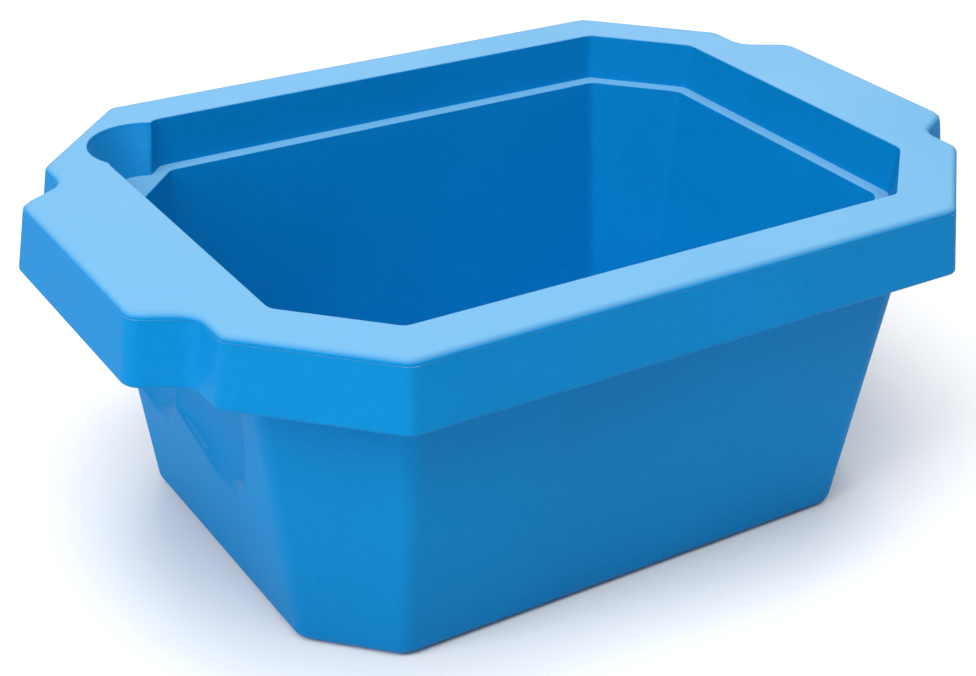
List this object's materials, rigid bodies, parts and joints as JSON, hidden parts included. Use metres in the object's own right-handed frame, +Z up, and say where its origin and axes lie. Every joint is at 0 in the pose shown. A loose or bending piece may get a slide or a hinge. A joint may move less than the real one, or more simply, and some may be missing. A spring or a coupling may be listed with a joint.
{
  "type": "insulated tub",
  "caption": "Thick-walled rectangular tub with cut corners, rebated rim, end lugs with finger scoops and a corner pouring lip.",
  "frame": {"origin": "centre of the base, on the surface the tub stands on", "axes": "+Z up, +X along the length through the lugs, +Y to the back; the pouring corner is at -X +Y"},
  "size_m": [0.4518, 0.3058, 0.176],
  "materials": {
    "skin": "satin",
    "foam": "matte"
  },
  "bodies": {
    "root": {"outer_skin": "skin", "inner_skin": "skin", "foam_core": "foam"}
  },
  "joints": []
}
